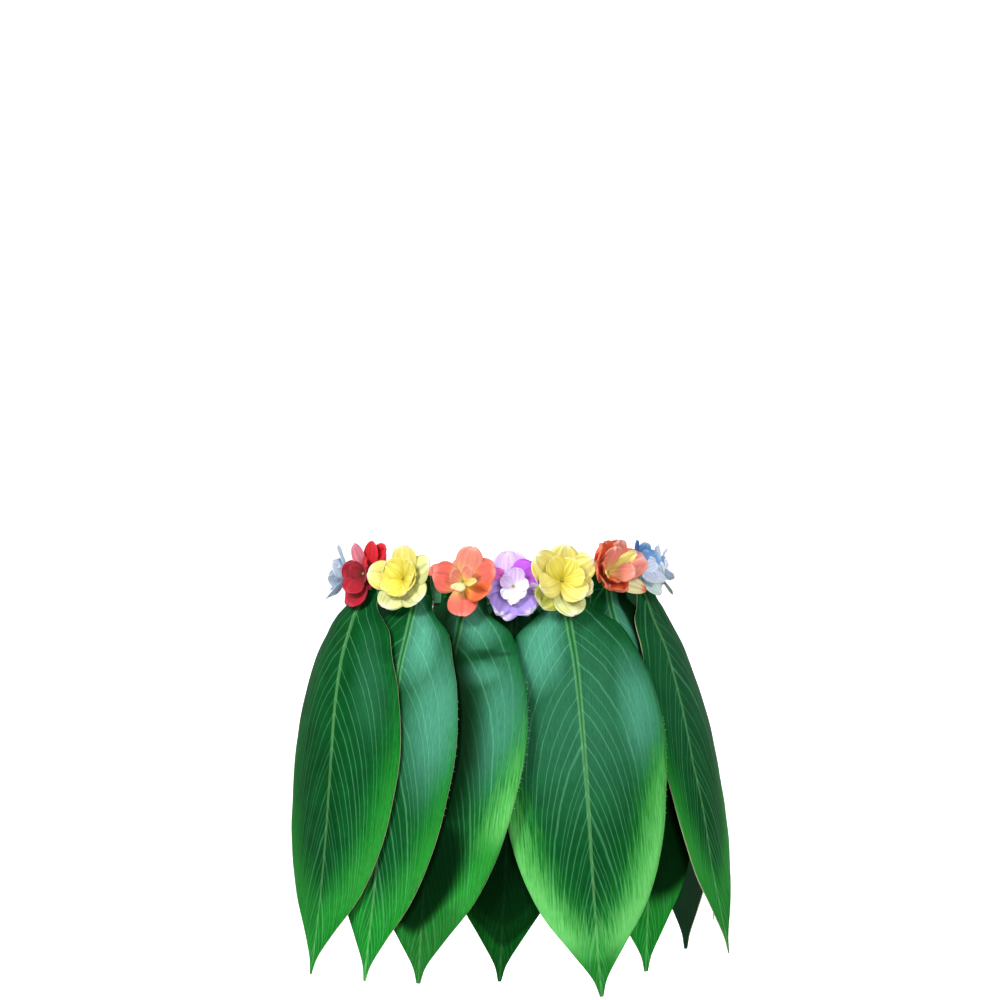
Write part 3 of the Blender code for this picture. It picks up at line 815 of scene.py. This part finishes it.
PETALS = {
    # direction clockwise from up, length, half width, lean off the flower's slope in degrees, fold, twist,
    # frill and point, and dye
    "flower_01_outer": (
        (56, 33, 17, -10, -0.1, 0.05, 1.2, 0, "scarlet"),
        (22, 29, 13, -6, 0.1, 0.1, 1.2, 0, "scarlet"),
        (110, 18, 11, -10, 0.1, -0.1, 0.6, 0, "crimson"),
        (204, 31, 18, -3, -0.05, -0.1, 1.4, 0, "red"),
        (262, 24, 15, 3, 0.05, 0.15, 1, 0, "crimson"),
        (334, 29, 8, 3, 0.25, 0.1, 0.5, 0, "carnation"),
    ),
    "flower_01_inner": (
        (36, 15, 9, -7, 0.2, 0.2, 0.8, 0, "scarlet"),
        (108, 12, 8, -8, 0.2, -0.2, 0.8, 0, "crimson"),
        (206, 20, 13, -8, 0.1, 0.1, 1.2, 0, "red"),
        (290, 13, 8, -1, 0.2, 0.2, 0.8, 0, "crimson"),
    ),
    "flower_02_outer": (
        (3, 29, 13, -12, 0.05, 0.1, 0.9, 0, "yellow"),
        (68, 31, 13.5, -14, 0.05, 0.1, 1, 0, "straw"),
        (136, 31, 14, -14, 0.05, 0.1, 1, 0, "straw"),
        (206, 29, 14, -14, 0.05, 0.1, 1, 0, "straw"),
        (280, 30, 13, -5, 0.05, 0, 1, 0, "yellow"),
    ),
    "flower_02_inner": (
        (42, 18, 12, -16, 0, 0.1, 1.2, 0, "sunny"),
        (100, 15, 10, -14, 0, 0.1, 1.2, 0, "sunny"),
        (138, 18, 11, -16, 0, 0.1, 1.2, 0, "sunny"),
        (222, 17, 12, -14, 0, 0.1, 1.2, 0, "sunny"),
        (314, 17, 12, -12, 0, 0.1, 1.2, 0, "sunny"),
    ),
    "flower_03_outer": (
        (20, 30, 12.5, -20, 0.05, 0.1, 0.8, 0, "salmon"),
        (73, 31, 14, -18, 0.05, 0.15, 1, 0.1, "coral"),
        (118, 29, 13, -15, 0.1, 0.2, 1, 0.1, "orange"),
        (178, 32, 13, -24, 0.05, 0.1, 1.1, 0, "coral"),
        (282, 24, 14, -12, 0.05, 0.1, 1, 0, "coral"),
    ),
    "flower_03_inner": (
        (45, 13, 6, -14, 0.3, 0.1, 0.4, 0.1, "salmon"),
        (112, 17, 4, -8, 0.3, 0.1, 0.3, 0.2, "yellow"),
        (200, 12, 6, -14, 0.3, 0.1, 0.4, 0.1, "cream"),
        (300, 10, 6, -14, 0.3, 0.1, 0.4, 0.1, "salmon"),
    ),
    "flower_04_outer": (
        (354, 31, 15, -5, 0, 0, 1.2, 0, "lilac"),
        (48, 27, 14, -3, 0.1, -0.1, 1, 0, "magenta"),
        (92, 22, 11, -7, 0.05, 0, 1, 0, "lilac"),
        (150, 29, 14, -2, 0.1, 0.1, 2.2, 0, "violet"),
        (204, 29, 14, -2, 0.1, 0.1, 2.2, 0, "violet"),
        (252, 24, 11, -5, 0.1, 0.1, 1.8, 0, "violet"),
        (296, 24, 10, -5, 0.05, 0, 1, 0, "rose"),
    ),
    "flower_04_inner": (
        (8, 15, 9, -6, 0.2, 0.1, 1.2, 0, "lilac"),
        (88, 13, 6, -8, 0.2, 0.1, 1.2, 0, "white"),
        (140, 14, 6, -10, 0.1, 0.1, 1.8, 0, "white"),
        (180, 17, 6, -9, 0.1, 0.1, 1.8, 0, "white"),
        (220, 14, 6, -10, 0.1, 0.1, 1.8, 0, "white"),
        (300, 12, 6, -4, 0.2, 0.1, 1.2, 0, "lilac"),
    ),
    "flower_05_outer": (
        (8, 31, 13, -14, 0.05, 0.1, 0.9, 0, "yellow"),
        (58, 32, 13, -12, 0.05, 0.1, 0.9, 0, "yellow"),
        (108, 27, 11, -14, 0.05, 0.1, 0.9, 0, "yellow"),
        (166, 33, 14.5, -18, 0.05, 0.1, 1.1, 0, "straw"),
        (222, 32, 13.5, -20, 0.05, 0.1, 1, 0, "olive"),
        (308, 31, 14, -12, 0.05, 0.1, 0.9, 0, "yellow"),
    ),
    "flower_05_inner": (
        (28, 19, 10, -18, 0.05, 0.1, 0.8, 0, "sunny"),
        (84, 18, 9, -18, 0.05, 0.1, 0.8, 0, "sunny"),
        (138, 24, 13, -24, 0.05, 0.1, 1, 0, "yellow"),
        (246, 25, 12, -22, 0.05, 0.1, 1, 0, "yellow"),
        (330, 20, 10, -16, 0.05, 0.1, 0.8, 0, "sunny"),
    ),
    "flower_06_outer": (
        (20, 27, 13, -12, -0.1, 0.2, 2, 0, "salmon"),
        (72, 33, 14, -16, 0.1, 0.2, 1.6, 0, "pink"),
        (117, 37, 9, -28, -0.1, 0.1, 0.8, 0.1, "cream"),
        (165, 21, 14, -8, 0.1, 0.2, 2.6, 0, "orange"),
        (216, 20, 11, -4, 0.1, 0.2, 2.6, 0, "orange"),
        (282, 21, 14, -4, 0.1, 0.2, 3, 0, "orange"),
        (333, 24, 11, -6, 0.1, 0.2, 2.4, 0, "orange"),
    ),
    "flower_06_inner": (
        (56, 23, 5, -18, 0.3, 0.1, 0.8, 0, "yellow"),
        (100, 17, 10, -14, 0.2, 0.2, 1.8, 0, "salmon"),
        (185, 13, 8, -12, 0.2, 0.2, 2.2, 0, "orange"),
        (240, 12, 6, -12, 0.2, 0.2, 2.2, 0, "sunny"),
        (290, 14, 8, -12, 0.2, 0.2, 2.4, 0, "orange"),
        (350, 17, 9, -12, 0.2, 0.2, 2, 0, "salmon"),
    ),
    "flower_07_outer": (
        (322, 27, 6, 14, 0.2, 0.1, 0.6, 0.6, "navy"),
        (14, 22, 9, 8, 0.1, 0.1, 0.8, 0.3, "blue"),
        (62, 26, 10, 2, 0.1, 0.1, 0.8, 0.3, "blue"),
        (112, 29, 8, 0, 0.1, 0.1, 0.6, 0.5, "lavender"),
        (150, 29, 11, -2, 0.1, 0.1, 0.8, 0.1, "mint"),
        (214, 20, 12, -8, 0.1, 0.1, 0.8, 0.2, "lavender"),
    ),
    "flower_07_inner": (
        (0, 14, 8, 2, 0.2, 0.1, 0.8, 0.2, "blue"),
        (75, 15, 8, -4, 0.2, 0.1, 0.8, 0.2, "lavender"),
        (150, 17, 9, -8, 0.2, 0.1, 0.8, 0.2, "lavender"),
        (220, 15, 9, -4, 0.2, 0.1, 0.8, 0.2, "ice"),
        (290, 13, 7, 2, 0.2, 0.1, 0.8, 0.2, "navy"),
    ),
    "flower_16_outer": (
        (8, 27, 10, 2, 0.2, 0.1, 0.6, 0.4, "ice"),
        (58, 19, 11, 14, 0, 0.1, 0.6, 0.4, "lavender"),
        (108, 15, 11, 24, 0, 0.1, 0.6, 0.9, "ice"),
        (158, 25, 10, 6, 0.1, 0.1, 0.6, 0.6, "lavender"),
        (228, 24, 9, 0, 0.2, 0.1, 0.6, 0.4, "ice"),
        (300, 25, 9, 4, 0.2, 0.1, 0.6, 0.4, "lavender"),
    ),
    "flower_16_inner": (
        (30, 14, 7, 2, 0.3, 0.1, 0.5, 0.3, "lavender"),
        (102, 10, 8, 14, 0.2, 0.1, 0.5, 0.3, "ice"),
        (172, 15, 7, -6, 0.3, 0.1, 0.5, 0.3, "lavender"),
        (244, 14, 7, -6, 0.3, 0.1, 0.5, 0.3, "ice"),
        (316, 15, 7, -4, 0.3, 0.1, 0.5, 0.3, "lavender"),
    ),
}
# The flowers at the back, by colour: dyes of the outer and inner petals, and how pointed they are.
HIDDEN_DYES = {
    "red": (("red", "scarlet", "red", "crimson", "red"), ("red", "crimson"), 0.1),
    "yellow": (("yellow", "straw") * 2 + ("olive",), ("sunny", "yellow"), 0),
    "coral": (("coral", "salmon", "orange", "coral", "pink"), ("salmon", "yellow"), 0.1),
    "purple": (("lilac", "magenta", "violet", "lilac", "violet"), ("white", "lilac"), 0),
    "blue": (("blue", "navy", "blue", "lavender", "mint"), ("lavender", "blue"), 0.5),
    "pale_blue": (("ice", "lavender", "mint", "ice", "lavender"), ("lavender", "ice"), 0.5),
}
HIDDEN_PETALS = (
    # direction, share of the flower's radius, half width as a share of it, lean, fold, twist, frill
    (0, 1.02, 0.44, 0, 0.1, 0.1, 0.8),
    (70, 0.96, 0.42, -4, 0.05, 0.12, 0.7),
    (146, 1.05, 0.43, 3, 0.15, 0.08, 0.9),
    (214, 0.98, 0.46, -2, 0.08, 0.14, 0.8),
    (289, 1.03, 0.41, 2, 0.12, 0.1, 1),
)
HIDDEN_REACH = {"flower_09": 0.8, "flower_14": 0.78, "flower_15": 0.8}
INNER_SHARE = 0.62
INNER_ROLL = 36

# Dyed and heat-shaped polyester: thin, silky and a little see-through, so that light from behind warms it,
# with soft folds 2 to 3 mm wide that run from the root to the rim, bumped, with their light and shade painted
# in.
FOLDS = (11.0, 0.6, 1)
SHEER = 0.35
petal_cloths = {}
for colour in sorted({flower[6] for flower in FLOWERS}):
    cloth, tree, shader = new_material(f"petal_{colour}_silky_polyester")
    dye = add_node(tree, "Attribute", {"attribute_name": "dye"})
    petal_map = add_node(tree, "UVMap", {"uv_map": "petal"})
    fold_place = add_node(tree, "VectorMath", MULTIPLY, {0: petal_map, 1: FOLDS})
    folds = add_node(tree, "TexNoise", None, {"Vector": fold_place, "Scale": 1.0, "Detail": 3.0})
    # The folds lighten and darken the dye: painted light and shade.
    reach = {"Value": folds, "From Min": 0.3, "From Max": 0.7, "To Min": 0.70, "To Max": 1.10}
    fold_light = add_node(tree, "MapRange", None, reach)
    fold_shaded_dye = add_node(tree, "VectorMath", {"operation": "SCALE"}, {0: dye, "Scale": fold_light})
    pleats = add_node(tree, "Bump", None, {"Strength": 0.7, "Distance": 0.0006, "Height": folds})
    silky = {"Roughness": 0.55, "Specular IOR Level": 0.25, "Sheen Weight": 0.15}
    set_inputs(shader, {"Base Color": fold_shaded_dye, "Normal": pleats, **silky})
    glow = add_node(tree, "BsdfTranslucent", None, {"Color": fold_shaded_dye})
    thin = add_node(tree, "MixShader", None, {"Fac": SHEER, 1: shader, 2: glow})
    set_inputs(tree.nodes["Material Output"], {"Surface": thin})
    petal_cloths[colour] = cloth


def petal_share(t, point):
    """A petal's width at t of its length, as a share of its widest."""
    if t < PETAL_WIDEST:
        return PETAL_ROOT + (1 - PETAL_ROOT) * math.sin(math.pi / 2 * t / PETAL_WIDEST)
    past = (t - PETAL_WIDEST) / (1 - PETAL_WIDEST)
    return (1 - point) * math.sqrt(max(0.0, 1 - past * past)) + point * (1 - past)


def blend_of(root, middle, rim, t):
    """The dye at t of a petal's length: it is darkest or greenest at the root, and the rim is a thin line."""
    bodied = smooth(0.05, 0.62, t)
    rimmed = smooth(0.84, 0.99, t)
    layers = zip(linear(root), linear(middle), linear(rim))
    return [(a + (b - a) * bodied) * (1 - rimmed) + c * rimmed for a, b, c in layers]


def add_petal(mesh, petal, centre, axes, slope, cup, base, seed):
    """Adds one petal: a grid narrowed to its root, rounded at its rim, cupped, folded and frilled."""
    direction, length, half_width, lean, fold, twist, frill, point, dye = petal
    right, up, outwards = axes
    grid = bmesh.ops.create_grid(mesh, x_segments=PETAL_COLUMNS, y_segments=PETAL_ROWS, size=1)
    dye_at = mesh.verts.layers.float_color["dye"]
    petal_layer = mesh.loops.layers.uv["petal"]
    angle = math.radians(direction)
    along_axis = math.cos(angle) * up + math.sin(angle) * right
    side_axis = math.cos(angle) * right - math.sin(angle) * up
    steep = math.tan(math.radians(max(slope + lean, 2)))
    own = {}
    for vert in grid["verts"]:
        u = vert.co.x
        t = 1 - (1 - (vert.co.y + 1) / 2) ** ROW_CROWDING
        share = petal_share(t, point)
        side = half_width * share * u
        # The uneven rim dies out where a petal narrows to its tip, or the tip would end in a spike.
        open_rim = min(1.0, 1.8 * share)
        notch = NOTCHES * open_rim * frill * t**4 * noise.noise(Vector((4.2 * u, seed, 0.5)))
        reach = length * t * (1 + notch)
        lifted = half_width * t * (fold * abs(u) + twist * u)
        lifted += frill * t**3 * RUFFLES * noise.noise(Vector((2.3 * u + seed, 1.5 * t, seed)))
        lifted += frill * t**4 * CRINKLES * noise.noise(Vector((7.0 * u + seed, 2.0 * t, 2 * seed)))
        lifted += WARP * t * noise.noise(Vector((1.2 * u, 2.0 * t, seed + 9)))
        rise = length * steep * t**cup + open_rim * lifted
        own[vert] = (u, t)
        vert[dye_at] = blend_of(*DYES[dye], max(t, 0.55 * abs(u) * t + 0.45 * t))
        vert.co = centre + MM * (reach * along_axis + side * side_axis) + (base + MM * rise) * outwards
    for face in {face for vert in grid["verts"] for face in vert.link_faces}:
        for loop in face.loops:
            u, t = own[loop.vert]
            loop[petal_layer].uv = (0.5 * u * t**0.3 + seed, t + seed)


flower_middles = []
for name, turn, height, radius, slope, roll, colour in FLOWERS:
    turn = math.radians(turn)
    pitch = math.radians(FLOWER_PITCH)
    on_band = around(turn, *BAND_OVAL, 0)
    normal = around(turn, *BAND_OVAL, 1) - on_band
    outwards = normal * math.cos(pitch) + Vector((0, 0, math.sin(pitch)))
    right = Vector((0, 0, 1)).cross(normal)
    axes = (right, outwards.cross(right), outwards)
    leaf_face = FIGURE[0][1] * MM - BAND_HALF_WIDTH + LEAF_WALL / 2
    centre = around(turn, *BAND_OVAL, leaf_face + GAP)
    centre.z = waist_height(turn) + height * MM
    inner_slope = slope + INNER_STEEPER
    half_outer = PETAL_WALL / 2 / math.cos(math.radians(slope))
    half_inner = PETAL_WALL / 2 / math.cos(math.radians(inner_slope))
    base = half_outer + CUP_LIFT
    top = base + half_outer + GAP + half_inner
    flower_middles.append((centre + top * outwards, axes))
    outer_dyes, inner_dyes, point = HIDDEN_DYES[colour]
    for layer, own_slope, cup, own_base, share, own_dyes in (
        ("_outer", slope, OUTER_CUP, base, 1, outer_dyes),
        ("_inner", inner_slope, INNER_CUP, top, INNER_SHARE, inner_dyes),
    ):
        petals = PETALS.get(name + layer)
        if petals is None:
            offset = roll + (0 if layer == "_outer" else INNER_ROLL)
            size = radius * share
            petals = []
            for k, (direction, reach, wide, *bends) in enumerate(HIDDEN_PETALS):
                cut = (direction + offset, size * reach * HIDDEN_REACH.get(name, 1), size * wide)
                petals.append((*cut, *bends, point, own_dyes[k % len(own_dyes)]))
        mesh = bmesh.new()
        mesh.verts.layers.float_color.new("dye")
        mesh.loops.layers.uv.new("petal")
        for k, petal in enumerate(petals):
            seed = 3.7 * int(name[-2:]) + 1.3 * k + (11 if layer == "_inner" else 0)
            tier = own_base + PETAL_STEP * k
            add_petal(mesh, petal, centre, axes, own_slope, cup, tier, seed)
        bmesh.ops.remove_doubles(mesh, verts=mesh.verts[:], dist=1e-6)
        piece = new_piece("petals" + name[6:] + layer, mesh, petal_cloths[colour])
        wall = piece.modifiers.new("cloth", "SOLIDIFY")
        wall.thickness = PETAL_THICKNESS
        wall.offset = 0
        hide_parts(name + layer)
        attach(piece, "root")
        lengths = [petal[1] * MM / math.cos(math.radians(own_slope + petal[3])) for petal in petals]
        widths = [2 * petal[2] * MM for petal in petals]
        cut = PETAL_AREA * sum(length * width for length, width in zip(lengths, widths))


# Each flower is caught down by a small knot of thread in its middle, which covers where its petals meet. The
# knot is four round turns of the thread, side by side on top of the inner petals.
KNOT_BEAD = 0.8 * MM
KNOT_BEADS = 4
KNOT_RISE = 1.6 * MM

knot_mesh = bmesh.new()
for middle, (right, up, outwards) in flower_middles:
    for k in range(KNOT_BEADS):
        spin = math.tau * k / KNOT_BEADS
        beside = 0.8 * KNOT_BEAD * (math.cos(spin) * right + math.sin(spin) * up)
        bead_place = Matrix.Translation(middle + beside + KNOT_RISE * outwards)
        bmesh.ops.create_icosphere(knot_mesh, subdivisions=2, radius=KNOT_BEAD, matrix=bead_place)
# Thick olive thread with hardly any gloss: the dull heart of each flower.
knot_thread, tree, shader = new_material("knotted_polyester_thread")
set_inputs(shader, {"Base Color": linear("8F8434"), "Roughness": 0.6})
knots = new_piece("flower_knots", knot_mesh, knot_thread)
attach(knots, "root")
